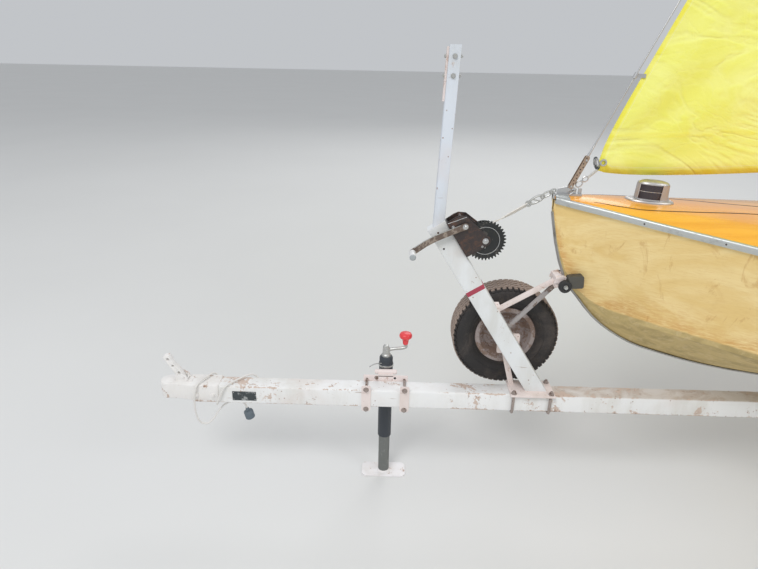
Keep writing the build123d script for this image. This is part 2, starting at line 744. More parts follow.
# Metal band on the stem and along the keel
keel_line = [(section.x, section.keel) for section in SECTIONS]
with BuildPart() as stem_band:
    with BuildSketch(Plane.XZ.offset(-BAND_WIDTH / 2)):
        with BuildLine():
            tail = keel_line[-1]
            Polyline(*keel_line, (tail[0], tail[1] + 60), (keel_line[0][0] - 60, keel_line[0][1]), close=True)
        make_face()
        offset(amount=BAND, kind=Kind.INTERSECTION)
    extrude(amount=BAND_WIDTH)
    add(hull_form.part, mode=Mode.SUBTRACT)
    add(deck_skin, mode=Mode.SUBTRACT)
    add(block((inboard(-50), inboard(HULL_LENGTH + 60)), (-60, 60), (KEEL_BASE + 1.306 * DEPTH, 2000)), mode=Mode.SUBTRACT)
    add(block((inboard(SHELL_LENGTH - 20), inboard(HULL_LENGTH + 60)), (-60, 60), (0, 2000)), mode=Mode.SUBTRACT)
save("stem_band", stem_band)

# Inside: bulkheads, floorboards, centreboard trunk, board and thwart
under_deck = deck_band(-DEPTH - 200, 0)
bulkhead_places = (COCKPIT_FRONT - 30, COCKPIT_REAR + 40)
with BuildPart() as bulkheads:
    add([block((inboard(s), inboard(s + 12)), (-900, 900), (400, 1500)) for s in bulkhead_places])
    add(hull_inside.part, mode=Mode.INTERSECT)
    add(under_deck, mode=Mode.INTERSECT)
save("bulkheads", bulkheads)

with BuildPart() as floorboards:
    add(block((inboard(COCKPIT_FRONT - 18), inboard(COCKPIT_REAR + 40)), (-900, 900), (FLOOR_Z, FLOOR_Z + FLOOR_PLY)))
    add(hull_inside.part, mode=Mode.INTERSECT)
    for side in (-1, 1):
        add(
            block(
                (inboard(COCKPIT_FRONT), inboard(COCKPIT_REAR)),
                (side * 150 - 4, side * 150 + 4),
                (FLOOR_Z + FLOOR_PLY - 4, FLOOR_Z + FLOOR_PLY + 1),
            ),
            mode=Mode.SUBTRACT,
        )
save("floorboards", floorboards)

TRUNK_LOW = FLOOR_Z + FLOOR_PLY
trunk_x = (inboard(TRUNK_START), inboard(TRUNK_START + TRUNK_LENGTH))
with BuildPart() as trunk:
    add(block(trunk_x, (-TRUNK_WIDTH / 2, TRUNK_WIDTH / 2), (TRUNK_LOW, TRUNK_TOP)))
    add(
        block(
            (trunk_x[0] - 25, trunk_x[1] + 25), (-TRUNK_SLOT / 2, TRUNK_SLOT / 2), (TRUNK_LOW + 12, TRUNK_TOP + 1)
        ),
        mode=Mode.SUBTRACT,
    )
save("centreboard_trunk", trunk)

with BuildPart() as centreboard:
    with BuildSketch(Plane.XZ.offset(-BOARD_PLATE / 2)) as board_side:
        with BuildLine():
            Polyline(
                (trunk_x[0] - 30, TRUNK_LOW + 12),
                (trunk_x[1] + 30, TRUNK_LOW + 12),
                (trunk_x[1] + 30, TRUNK_TOP - 20),
                (trunk_x[1] + 150, TRUNK_TOP + 55),
                (trunk_x[1] + 210, TRUNK_TOP + 55),
                (trunk_x[1] + 260, TRUNK_TOP - 20),
                (trunk_x[0] - 30, TRUNK_TOP - 60),
                close=True,
            )
        make_face()
        fillet(board_side.vertices(), 10)
    extrude(amount=BOARD_PLATE)
save("centreboard", centreboard)

with BuildPart() as thwart:
    thwart_x = inboard(THWART_STATION)
    add(block((thwart_x - THWART_WIDTH / 2, thwart_x + THWART_WIDTH / 2), (-900, 900), (TRUNK_TOP, TRUNK_TOP + 20)))
    add(hull_inside.part, mode=Mode.INTERSECT)
save("thwart", thwart)

# Mast step on the deck, gooseneck bracket and hounds band
rake_up = Vector(-sin(radians(RAKE)), 0, cos(radians(RAKE)))
mast_x = inboard(MAST_STATION)
deck_at_mast = surface_height(deck.part, mast_x)
MAST_FOOT = Vector(mast_x, 0, deck_at_mast + STEP_HEIGHT)
mast_plane = Plane(origin=tuple(MAST_FOOT), x_dir=(cos(radians(RAKE)), 0, sin(radians(RAKE))), z_dir=tuple(rake_up))
mast_side = Plane(origin=tuple(MAST_FOOT), x_dir=(cos(radians(RAKE)), 0, sin(radians(RAKE))), z_dir=(0, -1, 0))
hinge_back = -MAST_RADIUS - LUFF_GAP
LUG = 6.0
LUG_GAP = 34.0
with BuildPart() as mast_fittings:
    add(block((mast_x - 62, mast_x + 62), (-50, 50), (deck_at_mast - 6, deck_at_mast + STEP_HEIGHT - 2)))
    with BuildSketch(mast_plane.offset(-2)):
        Rectangle(92, 78)
    extrude(amount=2)
    add(deck.part, mode=Mode.SUBTRACT)
    for height in (-LUG_GAP / 2 - LUG, LUG_GAP / 2):
        with BuildSketch(mast_plane.offset(GOOSENECK + height)):
            with Locations((hinge_back / 2, 0)):
                Rectangle(-hinge_back, 24)
            with Locations((hinge_back, 0)):
                Circle(12)
            Circle(MAST_RADIUS + FIT / 3, mode=Mode.SUBTRACT)
        extrude(amount=LUG)
    with BuildSketch(mast_plane.offset(GOOSENECK - LUG_GAP / 2 - LUG - 10)):
        with Locations((hinge_back, 0)):
            Circle(PINTLE)
    extrude(amount=LUG_GAP + 2 * LUG + 20)
    with BuildSketch(mast_plane.offset(HOUNDS - 22)):
        Circle(MAST_RADIUS + 4)
        with Locations((MAST_RADIUS + 8, 0)):
            Rectangle(20, 12)
        with Locations((-12, MAST_RADIUS + 4), (-12, -MAST_RADIUS - 4)):
            Rectangle(14, 14)
        Circle(MAST_RADIUS + FIT / 3, mode=Mode.SUBTRACT)
    extrude(amount=22)
save("mast_fittings", mast_fittings)

# Mast: an aluminium tube that narrows towards its head
with BuildPart() as mast:
    for radius, mode in ((MAST_RADIUS, Mode.ADD), (MAST_RADIUS - MAST_WALL, Mode.SUBTRACT)):
        with BuildSketch(mast_plane):
            Circle(radius)
        extrude(amount=HOUNDS + 60, mode=mode)
        with BuildSketch(mast_plane.offset(HOUNDS + 60)):
            Circle(radius)
        with BuildSketch(mast_plane.offset(MAST_LENGTH)):
            Circle(radius * 0.72)
        loft(mode=mode)
save("mast", mast)


def rig(along, across, up):
    """A point in the mast's own frame: forward of it, to port, and up along it."""
    return tuple(mast_plane.from_local_coords((along, across, up)))


# Boom: a tube with an eye on the gooseneck's pin
with BuildPart() as boom:
    with BuildSketch(mast_plane.offset(GOOSENECK - LUG_GAP / 2 + 1)):
        with Locations((hinge_back, 0)):
            Circle(12)
        with Locations((hinge_back - 24, 0)):
            Rectangle(48, 20)
        with Locations((hinge_back, 0)):
            Circle(PINTLE + 0.06, mode=Mode.SUBTRACT)
    extrude(amount=LUG_GAP - 2)
    with BuildSketch(Plane(origin=rig(hinge_back - 30, 0, GOOSENECK), x_dir=(0, 1, 0), z_dir=(-1, 0, 0))):
        Circle(BOOM_RADIUS)
    extrude(amount=BOOM_LENGTH - 30)
    with BuildSketch(Plane(origin=rig(hinge_back - 60, 0, GOOSENECK), x_dir=(0, 1, 0), z_dir=(-1, 0, 0))):
        Circle(BOOM_RADIUS - MAST_WALL)
    extrude(amount=BOOM_LENGTH - 80, mode=Mode.SUBTRACT)
save("boom", boom)

# Mainsail: bowed sections from the boom up to the headboard.
# Columns: height above the boom as a share of the luff, chord as a share of the foot,
# belly as a share of the chord.
MAIN_SECTIONS = (
    # height, chord, belly
    (0.000, 1.000, 0.002),
    (0.180, 0.870, 0.030),
    (0.450, 0.640, 0.035),
    (0.720, 0.370, 0.030),
    (1.000, 0.040, 0.010),
)
BOOM_Z = rig(hinge_back - 30, 0, GOOSENECK)[2]
LUFF_GROOVE = (MAST_RADIUS + 7) / cos(radians(RAKE))
with BuildPart() as mainsail:
    for height, chord, belly in MAIN_SECTIONS:
        level = BOOM_Z + BOOM_RADIUS + height * LUFF
        luff_x = mast_x - (level - MAST_FOOT.Z) * tan(radians(RAKE)) - LUFF_GROOVE
        width = FOOT * chord
        bow = width * belly + 0.5
        with BuildSketch(Plane.XY.offset(level)):
            with BuildLine():
                ThreePointArc((luff_x, SAIL / 2), (luff_x - width / 2, SAIL / 2 + bow), (luff_x - width, SAIL / 2))
                Line((luff_x - width, SAIL / 2), (luff_x - width, -SAIL / 2))
                ThreePointArc((luff_x - width, -SAIL / 2), (luff_x - width / 2, bow - SAIL / 2), (luff_x, -SAIL / 2))
                Line((luff_x, -SAIL / 2), (luff_x, SAIL / 2))
            make_face()
    loft()
    add(boom.part, mode=Mode.SUBTRACT)
    tack_notch = (rig(hinge_back - 22, 0, GOOSENECK)[0], mast_x)
    add(block(tack_notch, (-20, 20), (BOOM_Z, BOOM_Z + BOOM_RADIUS + 14)), mode=Mode.SUBTRACT)
save("mainsail", mainsail)

# Stemhead fitting, chainplates and stays
STEMHEAD_STATION = 44.0        # where the forestay meets the deck
stemhead_x = inboard(STEMHEAD_STATION)
stemhead_z = surface_height(deck.part, stemhead_x)
forestay_low = (stemhead_x, 0, stemhead_z + 16)
forestay_high = rig(MAST_RADIUS + 14, 0, HOUNDS - 11)
chain_x = inboard(CHAINPLATE_STATION)
with BuildPart() as edge_probe:
    add(deck_skin)
    add(block((chain_x - 1, chain_x + 1), (-1000, 1000), (0, 2000)), mode=Mode.INTERSECT)
chain_y = edge_probe.part.bounding_box().max.Y
chain_z = edge_probe.part.bounding_box().min.Z + DECK_PLY
chain_inset = RAIL_DEPTH + 2
shroud_low = {side: (chain_x, side * (chain_y + chain_inset), chain_z + 60) for side in (-1, 1)}
shroud_high = {side: rig(-12, side * (MAST_RADIUS + 8), HOUNDS - 11) for side in (-1, 1)}
with BuildPart() as stays:
    add(rod(forestay_low, forestay_high, STAY))
    add([rod(shroud_low[side], shroud_high[side], STAY) for side in (-1, 1)])
    add(mast_fittings.part, mode=Mode.SUBTRACT)
save("stays", stays)

with BuildPart() as stay_fittings:
    add(block((stemhead_x - 46, stemhead_x + 46), (-11, 11), (stemhead_z - 12, stemhead_z + 6)))
    add(plate(
        [
            (stemhead_x - 28, stemhead_z),
            (stemhead_x + 40, stemhead_z),
            (stemhead_x + 34, stemhead_z + 22),
            (stemhead_x - 10, stemhead_z + 34),
            (stemhead_x - 28, stemhead_z + 22),
        ],
        (-3, 3),
    ))
    add(plate(
        [
            (stemhead_x - 46, stemhead_z),
            (stemhead_x - 34, stemhead_z),
            (stemhead_x - 34, stemhead_z + 24),
            (stemhead_x - 46, stemhead_z + 24),
        ],
        (-3, 3),
    ))
    for side in (-1, 1):
        add(block(
            (chain_x - 14, chain_x + 14),
            (side * (chain_y + chain_inset - 3), side * (chain_y + chain_inset + 3)),
            (chain_z - 120, chain_z + 78),
        ))
        add(block(
            (chain_x - 14, chain_x + 14),
            (side * (chain_y - 12), side * (chain_y + chain_inset - 2)),
            (chain_z - 116, chain_z - 44),
        ))
    add(deck.part, mode=Mode.SUBTRACT)
    add(hull_form.part, mode=Mode.SUBTRACT)
    add(rub_rails.part, mode=Mode.SUBTRACT)
    add(stays.part, mode=Mode.SUBTRACT)
save("stay_fittings", stay_fittings)

# Jib: bowed sections from the foot to the head, its luff just behind the forestay.
# Columns: share of the luff from the foot, chord as a share of the foot, belly share.
JIB_SECTIONS = (
    # height, chord, belly
    (0.000, 1.000, 0.020),
    (0.250, 0.780, 0.050),
    (0.550, 0.480, 0.050),
    (1.000, 0.020, 0.010),
)
JIB_FOOT = 1400.0
JIB_BASE = 70.0                # foot above the stemhead
CLEW_RISE = 67.0               # the clew above the tack
JIB_SHARE = 0.90               # of the forestay's height
HANKS = (0.083, 0.22, 0.36, 0.50, 0.64, 0.79, 0.93)
stay_run = Vector(*forestay_high) - Vector(*forestay_low)
jib_low_gap = 60.0
jib_high_gap = 20.0
with BuildPart() as jib:
    for height, chord, belly in JIB_SECTIONS:
        level = JIB_BASE + height * (JIB_SHARE * stay_run.Z - JIB_BASE)
        stay_x = forestay_low[0] + stay_run.X * level / stay_run.Z
        luff_x = stay_x - jib_low_gap - (jib_high_gap - jib_low_gap) * height
        width = JIB_FOOT * chord
        bow = width * belly + 0.5
        with BuildSketch(Plane.XY.offset(forestay_low[2] + level)):
            with BuildLine():
                ThreePointArc((luff_x, -SAIL / 2), (luff_x - width / 2, -SAIL / 2 - bow), (luff_x - width, -SAIL / 2))
                Line((luff_x - width, -SAIL / 2), (luff_x - width, SAIL / 2))
                ThreePointArc((luff_x - width, SAIL / 2), (luff_x - width / 2, SAIL / 2 - bow), (luff_x, SAIL / 2))
                Line((luff_x, SAIL / 2), (luff_x, -SAIL / 2))
            make_face()
    loft()
    for share in HANKS:
        level = JIB_BASE + share * (JIB_SHARE * stay_run.Z - JIB_BASE)
        stay_x = forestay_low[0] + stay_run.X * level / stay_run.Z
        luff_x = stay_x - jib_low_gap - (jib_high_gap - jib_low_gap) * share
        hank_z = forestay_low[2] + level + 12
        hank_x = stay_x - 12 * tan(radians(90) - atan2(stay_run.Z, -stay_run.X))
        add(block((luff_x - 14, hank_x), (-3.5, 3.5), (hank_z - 7, hank_z + 7)))
        with BuildSketch(Plane(origin=(hank_x, 0, hank_z), z_dir=tuple(stay_run)).offset(-7)):
            Circle(STAY + 4)
        extrude(amount=14)
    tack_x = forestay_low[0] + stay_run.X * JIB_BASE / stay_run.Z - jib_low_gap
    tack_z = forestay_low[2] + JIB_BASE
    add(block((tack_x - 22, tack_x + 9), (-5, 5), (tack_z - 12, tack_z + 18)))
    add(rod((stemhead_x - 24, 0, stemhead_z + 12), (tack_x + 3, 0, tack_z - 5), 3))
    foot_rise = [
        (tack_x - 532, tack_z - 30),
        (tack_x - 532, tack_z),
        (tack_x - JIB_FOOT - 40, tack_z + CLEW_RISE * 1.05),
        (tack_x - JIB_FOOT - 40, tack_z - 30),
    ]
    add(plate(foot_rise, (-120, 60)), mode=Mode.SUBTRACT)
    add(stays.part, mode=Mode.SUBTRACT)
    add(stay_fittings.part, mode=Mode.SUBTRACT)
save("jib", jib)

# Bow light: oval base, domed body with a fin, and its side lenses, all square to the deck
light_x = inboard(LIGHT_STATION)
light_z = surface_height(deck.part, light_x)
light_tilt = atan2(surface_height(deck.part, light_x + 60) - surface_height(deck.part, light_x - 60), 120)
light_plane = Plane(
    origin=(light_x, 0, light_z), x_dir=(cos(light_tilt), 0, sin(light_tilt)), z_dir=(-sin(light_tilt), 0, cos(light_tilt))
)
BODY_HEIGHT = 82.0
LENS_SPAN = 70.0
LENS_INSET = 22.0
LENS_HEIGHT = 46.0
with BuildPart() as bow_light:
    with BuildSketch(light_plane.offset(-5)):
        Ellipse(LIGHT_LENGTH / 2, LIGHT_WIDTH / 2)
    extrude(amount=11)
    with BuildSketch(light_plane):
        Ellipse(62, 36)
    extrude(amount=BODY_HEIGHT, taper=4)
    with BuildSketch(light_plane.offset(18)):
        with Locations((0, LENS_INSET + 20), (0, -LENS_INSET - 20)):
            Rectangle(LENS_SPAN, 40)
    extrude(amount=LENS_HEIGHT, mode=Mode.SUBTRACT)
    add(deck.part, mode=Mode.SUBTRACT)
save("bow_light", bow_light)

with BuildPart() as bow_light_lenses:
    with BuildSketch(light_plane.offset(18 + FIT)):
        Ellipse(58, 34)
    extrude(amount=LENS_HEIGHT - 2 * FIT, taper=4)
    with BuildSketch(light_plane.offset(18)):
        with Locations((0, LENS_INSET + FIT + 20), (0, -LENS_INSET - FIT - 20)):
            Rectangle(LENS_SPAN - 2 * FIT, 40)
    extrude(amount=LENS_HEIGHT, mode=Mode.INTERSECT)
save("bow_light_lenses", bow_light_lenses)

# Winch strap, taut from the drum to a snap hook at the stemhead
drum_centre = Vector(*winch_plane.from_local_coords((GEAR_ALONG, GEAR_OFF, 0)))
hook_end = Vector(stemhead_x + 46, 0, stemhead_z + 10)
strap_start = drum_centre + Vector(-8, 0, 46 + 3)
strap_run = hook_end - strap_start
strap_length = strap_run.length
strap_plane = Plane(origin=tuple(strap_start), x_dir=(0, 1, 0), z_dir=tuple(strap_run))
STRAP_WIDTH = 34.0
HOOK_LENGTH = 74.0
with BuildPart() as winch_strap:
    with BuildSketch(strap_plane):
        Rectangle(STRAP_WIDTH, 5)
    extrude(amount=strap_length - HOOK_LENGTH)
    with BuildSketch(strap_plane.offset(strap_length - HOOK_LENGTH - 12)):
        Circle(7)
    extrude(amount=HOOK_LENGTH + 10)
    add(stay_fittings.part, mode=Mode.SUBTRACT)
save("winch_strap", winch_strap)

# Bow stop: arms from the post up to a V block of rubber that holds the stem
STOP_Z = 955.0
STOP_HALF = 46.0
STOP_WIDTH = 118.0
stop_band_x = None
with BuildPart() as stem_probe:
    add(stem_band.part)
    add(block((inboard(-50), inboard(600)), (-2, 2), (STOP_Z - 1, STOP_Z + 1)), mode=Mode.INTERSECT)
stem_x = stem_probe.part.bounding_box().max.X
ARM_ROOTS = ((1303.0, 841.0), (1353.0, 770.0))
ARM_WIDTH = 14.0
arm_heads = ((stem_x + 40, STOP_Z + 20), (stem_x + 30, STOP_Z - 18))
arms = []
for (station, height), (head_x, head_z) in zip(ARM_ROOTS, arm_heads):
    run = Vector(head_x - aft(station), 0, head_z - height)
    normal = Vector(-run.Z, 0, run.X) * (11 / run.length)
    root_x = aft(station) + 40
    root_z = height - 40 * run.Z / abs(run.X)
    arms.append(plate(
        [
            (root_x + normal.X, root_z + normal.Z),
            (head_x + normal.X, head_z + normal.Z),
            (head_x - normal.X, head_z - normal.Z),
            (root_x - normal.X, root_z - normal.Z),
        ],
        (-ARM_WIDTH / 2, ARM_WIDTH / 2),
    ))
post_back = Plane(origin=tuple(post_head + post_off * (POST_DEPTH / 2 + FIT / 3)), z_dir=tuple(post_off))
with BuildPart() as bow_stop_arms:
    add(arms)
    split(bisect_by=post_back, keep=Keep.TOP)
    add(block((arm_heads[0][0] - 16, arm_heads[1][0] + 26), (-POST_WIDTH / 2 - 6, POST_WIDTH / 2 + 6), (STOP_Z - 34, STOP_Z + 34)))
    add(rod((stem_x + 34, -STOP_WIDTH / 2 - 8, STOP_Z), (stem_x + 34, STOP_WIDTH / 2 + 8, STOP_Z), 6))
save("bow_stop_arms", bow_stop_arms)

with BuildPart() as bow_stop_pad:
    with BuildSketch(Plane.XZ.offset(-STOP_WIDTH / 2)):
        with Locations((stem_x - 10, STOP_Z)):
            RectangleRounded(110, 2 * STOP_HALF - 22, 12)
    extrude(amount=STOP_WIDTH)
    add(hull_form.part, mode=Mode.SUBTRACT)
    add(stem_band.part, mode=Mode.SUBTRACT)
    add(bow_stop_arms.part, mode=Mode.SUBTRACT)
save("bow_stop_pad", bow_stop_pad)


def wheel_profile(width, radius, bead, shoulder):
    """Half section of a tyre: tread, shoulders, sidewalls and beads, as (y, r) points."""
    half = width / 2
    return [
        (-half * 0.62, bead),
        (-half * 0.62, bead + 14),
        (-half * 0.94, bead + 32),
        (-half, (bead + radius) / 2 + 4),
        (-half * 0.90, radius - shoulder),
        (-half * 0.66, radius - 5),
        (0, radius),
        (half * 0.66, radius - 5),
        (half * 0.90, radius - shoulder),
        (half, (bead + radius) / 2 + 4),
        (half * 0.94, bead + 32),
        (half * 0.62, bead + 14),
        (half * 0.62, bead),
    ]


def make_tyre(x, y, z):
    """A tyre about an axle along Y, with two grooves round its tread."""
    with BuildPart() as tyre:
        with BuildSketch(Plane.XY.offset(z)):
            with BuildLine():
                Polyline(*[(x + r, y + a) for a, r in wheel_profile(TYRE_WIDTH, TYRE_RADIUS, RIM_RADIUS, 20)], close=True)
            make_face()
            with Locations((x + TYRE_RADIUS, y - 20), (x + TYRE_RADIUS, y + 20)):
                Rectangle(10, 6, mode=Mode.SUBTRACT)
        revolve(axis=Axis((x, y, z), (0, 1, 0)))
    return tyre


def make_rim(x, y, z, outer_side, hub_bore):
    """A pressed steel rim with a dished disc, five stud holes' worth of hub and its bore."""
    half = TYRE_WIDTH / 2 * 0.62
    bead = RIM_RADIUS - FIT
    out = outer_side
    with BuildPart() as rim:
        with BuildSketch(Plane.XY.offset(z)):
            with BuildLine():
                Polyline(
                    (x + bead, y - half),
                    (x + bead, y - half - FIT),
                    (x + bead + 12, y - half - FIT),
                    (x + bead + 12, y - half - 4),
                    (x + bead - 4, y - half - 4),
                    (x + bead - 24, y - 12),
                    (x + bead - 24, y + 12),
                    (x + bead - 4, y + half + 4),
                    (x + bead + 12, y + half + 4),
                    (x + bead + 12, y + half + FIT),
                    (x + bead, y + half + FIT),
                    (x + bead, y + half),
                    (x + bead - 19, y + 12),
                    (x + bead - 19, y - 12),
                    close=True,
                )
            make_face()
        revolve(axis=Axis((x, y, z), (0, 1, 0)))
        with BuildSketch(Plane.XY.offset(z)):
            with BuildLine():
                Polyline(
                    (x + hub_bore, y + out * 4),
                    (x + 60, y + out * 4),
                    (x + RIM_RADIUS - 23, y - out * 6),
                    (x + RIM_RADIUS - 23, y - out * 1),
                    (x + 60, y + out * 9),
                    (x + 34, y + out * 9),
                    (x + 34, y + out * 30),
                    (x + hub_bore, y + out * 30),
                    close=True,
                )
            make_face()
        revolve(axis=Axis((x, y, z), (0, 1, 0)))
        with BuildSketch(Plane.XZ.offset(-y - 60)):
            with Locations((x, z)):
                with PolarLocations(68, 5):
                    Circle(8)
        extrude(amount=120, mode=Mode.SUBTRACT)
    return rim


AXLE_X = aft(AXLE_STATION)
AXLE_Z = TYRE_RADIUS
BEARING_GAP = 0.06
for side_name, side in (("left", 1), ("right", -1)):
    road_tyre = make_tyre(AXLE_X, side * WHEEL_Y, AXLE_Z)
    save("tyre_" + side_name, road_tyre)
    road_rim = make_rim(AXLE_X, side * WHEEL_Y, AXLE_Z, side, SPINDLE + BEARING_GAP)
    save("wheel_" + side_name, road_rim)

spare_tyre = make_tyre(aft(SPARE_STATION), SPARE_Y, SPARE_Z)
save("spare_tyre", spare_tyre)
SPARE_BORE = 20.0
spare_wheel = make_rim(aft(SPARE_STATION), SPARE_Y, SPARE_Z, -1, SPARE_BORE)
save("spare_wheel", spare_wheel)

# Spare carrier: a stud through the spare's hub from a plate on the post's starboard side
spare_x = aft(SPARE_STATION)
with BuildPart() as spare_carrier:
    with BuildSketch(Plane.XZ.offset(POST_WIDTH / 2)):
        with Locations((spare_x, SPARE_Z)):
            RectangleRounded(84, 84, 8)
    extrude(amount=7)
    add(plate(
        [
            (aft(1382), BASE_TOP + FIT / 3),
            (aft(1404), BASE_TOP + FIT / 3),
            (spare_x + 4, SPARE_Z - 20),
            (spare_x + 26, SPARE_Z - 20),
        ],
        (-POST_WIDTH / 2 - 7, -POST_WIDTH / 2),
    ))
    with BuildSketch(Plane.XZ.offset(POST_WIDTH / 2)):
        with Locations((spare_x, SPARE_Z)):
            Circle(30)
    extrude(amount=-SPARE_Y - POST_WIDTH / 2 - 4 - FIT)
    with BuildSketch(Plane.XZ.offset(POST_WIDTH / 2)):
        with Locations((spare_x, SPARE_Z)):
            Circle(SPARE_BORE - FIT)
    extrude(amount=-SPARE_Y - POST_WIDTH / 2 + 40)
    with BuildSketch(Plane.XZ.offset(-SPARE_Y + 30 + FIT)):
        with Locations((spare_x, SPARE_Z)):
            RegularPolygon(32, 6)
    extrude(amount=12)
save("spare_carrier", spare_carrier)

# Axle beam with its spindles
SPINDLE_END = WHEEL_Y + 44
with BuildPart() as axle:
    add(block((AXLE_X - AXLE_SIZE / 2, AXLE_X + AXLE_SIZE / 2), (-WHEEL_Y + 62, WHEEL_Y - 62), (AXLE_Z - AXLE_SIZE / 2, AXLE_Z + AXLE_SIZE / 2)))
    add(rod((AXLE_X, -SPINDLE_END, AXLE_Z), (AXLE_X, SPINDLE_END, AXLE_Z), SPINDLE))
    for side in (-1, 1):
        add(rod((AXLE_X, side * (WHEEL_Y - 62), AXLE_Z), (AXLE_X, side * (WHEEL_Y + 3.4), AXLE_Z), 22))
        add(rod((AXLE_X, side * (WHEEL_Y + 30.6), AXLE_Z), (AXLE_X, side * SPINDLE_END, AXLE_Z), 20))
save("axle", axle)

# Cross-members: C channels under the tongue, with the springs' hangers
CROSS_TOP = TONGUE_BOTTOM
CROSS_LOW = CROSS_TOP - CROSS_HEIGHT
CROSS_HALF = WHEEL_Y + FENDER_WIDTH / 2
EYE_Z = 300.0
EYE_RADIUS = 13.0
with BuildPart() as cross_members:
    for station in SUPPORT_STATIONS:
        opening = 1 if station < AXLE_STATION else -1
        cross_x = aft(station)
        with BuildSketch(Plane.XZ.offset(-CROSS_HALF)):
            with Locations((cross_x, (CROSS_TOP + CROSS_LOW) / 2)):
                Rectangle(CROSS_DEPTH, CROSS_HEIGHT)
            with Locations((cross_x + opening * CROSS_WALL, (CROSS_TOP + CROSS_LOW) / 2)):
                Rectangle(CROSS_DEPTH, CROSS_HEIGHT - 2 * CROSS_WALL, mode=Mode.SUBTRACT)
        extrude(amount=2 * CROSS_HALF)
        for side in (-1, 1):
            for ear in (-1, 1):
                ear_y = side * SPRING_Y + ear * (SPRING_WIDTH / 2 + 4)
                add(plate(
                    [
                        (cross_x - 17, CROSS_LOW),
                        (cross_x - 14, EYE_Z - 17),
                        (cross_x + 14, EYE_Z - 17),
                        (cross_x + 17, CROSS_LOW),
                    ],
                    (ear_y - 3, ear_y + 3),
                ))
            add(rod((cross_x, side * SPRING_Y - SPRING_WIDTH / 2 - 10, EYE_Z), (cross_x, side * SPRING_Y + SPRING_WIDTH / 2 + 10, EYE_Z), 6))
save("cross_members", cross_members)

# Leaf springs: three leaves each, eyes on the hangers' bolts, U-bolted on the axle
LEAF_CENTRE = AXLE_Z + AXLE_SIZE / 2 + 6
LEAF_SHARES = (1.0, 0.72, 0.44)
with BuildPart() as leaf_springs:
    for side in (-1, 1):
        face = Plane.XZ.offset(-side * SPRING_Y - SPRING_WIDTH / 2)
        rise = EYE_Z - EYE_RADIUS - LEAF_CENTRE - (len(LEAF_SHARES) - 1) * LEAF
        for number, share in enumerate(LEAF_SHARES):
            reach = SPRING_BASE * share
            lift = rise * share * share
            low = LEAF_CENTRE + (len(LEAF_SHARES) - 1 - number) * LEAF
            with BuildSketch(face):
                with BuildLine():
                    ThreePointArc((AXLE_X - reach, low + lift), (AXLE_X, low), (AXLE_X + reach, low + lift))
                    Line((AXLE_X + reach, low + lift), (AXLE_X + reach, low + lift + LEAF))
                    ThreePointArc((AXLE_X + reach, low + lift + LEAF), (AXLE_X, low + LEAF), (AXLE_X - reach, low + lift + LEAF))
                    Line((AXLE_X - reach, low + lift + LEAF), (AXLE_X - reach, low + lift))
                make_face()
            extrude(amount=SPRING_WIDTH)
        with BuildSketch(face):
            with Locations((AXLE_X - SPRING_BASE, EYE_Z), (AXLE_X + SPRING_BASE, EYE_Z)):
                Circle(EYE_RADIUS)
                Circle(6 + FIT / 3, mode=Mode.SUBTRACT)
        extrude(amount=SPRING_WIDTH)
        add(block((AXLE_X - 40, AXLE_X + 40), (side * SPRING_Y - SPRING_WIDTH / 2, side * SPRING_Y + SPRING_WIDTH / 2), (AXLE_Z + AXLE_SIZE / 2, LEAF_CENTRE + 4)))
        add(block((AXLE_X - 34, AXLE_X + 34), (side * SPRING_Y - SPRING_WIDTH / 2 - 8, side * SPRING_Y + SPRING_WIDTH / 2 + 8), (LEAF_CENTRE + 3 * LEAF, LEAF_CENTRE + 3 * LEAF + 8)))
        add([
            rod((AXLE_X + dx, side * SPRING_Y + dy, AXLE_Z - AXLE_SIZE / 2 - 12), (AXLE_X + dx, side * SPRING_Y + dy, LEAF_CENTRE + 3 * LEAF + 16), 4.5)
            for dx in (-26, 26)
            for dy in (-SPRING_WIDTH / 2 - 6, SPRING_WIDTH / 2 + 6)
        ])
save("leaf_springs", leaf_springs)

# Fenders: bent plates over the tyres, resting on the ends of the cross-members
FENDER_FOOT = CROSS_TOP
with BuildPart() as fenders:
    for side in (-1, 1):
        with BuildSketch(Plane.XZ.offset(-side * WHEEL_Y - FENDER_WIDTH / 2)) as fender_side:
            with BuildLine():
                Polyline(
                    (AXLE_X - 345, FENDER_FOOT),
                    (AXLE_X - 285, FENDER_FOOT),
                    (AXLE_X - 200, FENDER_TOP),
                    (AXLE_X + 200, FENDER_TOP),
                    (AXLE_X + 285, FENDER_FOOT),
                    (AXLE_X + 345, FENDER_FOOT),
                    (AXLE_X + 345, FENDER_FOOT + FENDER_THICK),
                    (AXLE_X + 287, FENDER_FOOT + FENDER_THICK),
                    (AXLE_X + 202, FENDER_TOP + FENDER_THICK),
                    (AXLE_X - 202, FENDER_TOP + FENDER_THICK),
                    (AXLE_X - 287, FENDER_FOOT + FENDER_THICK),
                    (AXLE_X - 345, FENDER_FOOT + FENDER_THICK),
                    close=True,
                )
            make_face()
        extrude(amount=FENDER_WIDTH)
save("fenders", fenders)

# Bunks, cut to the hull's bottom, and what carries them
with BuildPart() as bunks:
    for side in (-1, 1):
        add(block(
            (aft(BUNK_START), aft(BUNK_END)),
            (side * (BUNK_Y - BUNK_WIDTH / 2), side * (BUNK_Y + BUNK_WIDTH / 2)),
            (BUNK_LOW, BUNK_LOW + 90),
        ))
    add(hull_form.part, mode=Mode.SUBTRACT)
save("bunks", bunks)

